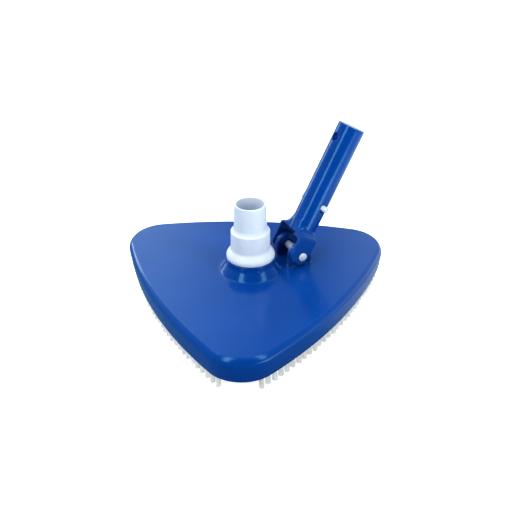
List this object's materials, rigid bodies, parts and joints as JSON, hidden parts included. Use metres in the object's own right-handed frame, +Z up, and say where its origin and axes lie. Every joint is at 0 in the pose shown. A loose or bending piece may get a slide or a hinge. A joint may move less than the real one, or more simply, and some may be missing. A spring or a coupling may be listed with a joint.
{
  "type": "manual pool vacuum head",
  "caption": "Bowed triangular pool vacuum head with bristle strips underneath, a swivelling stepped hose cuff in a central neck and a forked pole handle that tilts between two lugs.",
  "frame": {"origin": "under the middle of the head's length and width, level with the bristle tips, where the head stands on the pool floor; the hose cuff's axis is 21.855 mm towards -X", "axes": "+Z up along the hose cuff's axis; +X towards the corner over which the handle leans at rest; the handle's pin runs along Y"},
  "size_m": [0.247, 0.2614, 0.1703],
  "materials": {
    "blue_shell": "glossy moulded",
    "blue_plate": "semi-gloss moulded",
    "blue_handle": "glossy moulded",
    "white_cuff": "semi-gloss moulded",
    "white_pin": "semi-gloss moulded",
    "white_clip": "satin moulded",
    "white_ring": "satin moulded",
    "black_seal": "matte",
    "white_rail": "satin moulded",
    "white_bristle": "stiff nylon filament",
    "cast_weight": "coated casting",
    "steel_screw": "bright stainless"
  },
  "bodies": {
    "head": {"top_shell": "blue_shell", "base_plate": "blue_plate", "ballast_weight_1": "cast_weight", "ballast_weight_2": "cast_weight", "ballast_weight_3": "cast_weight", "brush_rail_1": "white_rail", "brush_rail_2": "white_rail", "brush_rail_3": "white_rail", "bristle_row_1": "white_bristle", "bristle_row_2": "white_bristle", "bristle_row_3": "white_bristle", "base_screw_1": "steel_screw", "base_screw_2": "steel_screw", "base_screw_3": "steel_screw", "base_screw_4": "steel_screw", "base_screw_5": "steel_screw", "base_screw_6": "steel_screw", "base_screw_7": "steel_screw", "base_screw_8": "steel_screw", "base_screw_9": "steel_screw"},
    "connector": {"hose_connector": "white_cuff", "retaining_ring": "white_ring", "swivel_seal": "black_seal"},
    "handle": {"pole_handle": "blue_handle", "pivot_pin": "white_pin", "pivot_pin_cap": "white_pin", "spring_clip_bend": "white_clip"},
    "clip_arm_left": {"spring_clip_arm_left": "white_clip"},
    "clip_arm_right": {"spring_clip_arm_right": "white_clip"}
  },
  "joints": [
    {"name": "hose_swivel", "type": "hinge", "parent": "head", "child": "connector", "pos_m": [-0.02185, 0, 0.05], "axis": [0, 0, 1], "continuous": true},
    {"name": "handle_tilt", "type": "hinge", "parent": "head", "child": "handle", "pos_m": [0.02424, 0, 0.0482], "axis": [0, 1, 0], "range_deg": [-40, 52]},
    {"name": "button_left_press", "type": "hinge", "parent": "handle", "child": "clip_arm_left", "pos_m": [0.06765, 0.00257, 0.13158], "axis": [0.8741, 0.1564, -0.4599], "range_deg": [-7.4, 0]},
    {"name": "button_right_press", "type": "hinge", "parent": "handle", "child": "clip_arm_right", "pos_m": [0.06837, -0.00257, 0.1312], "axis": [0.8741, 0.1564, -0.4599], "range_deg": [0, 7.4]}
  ]
}
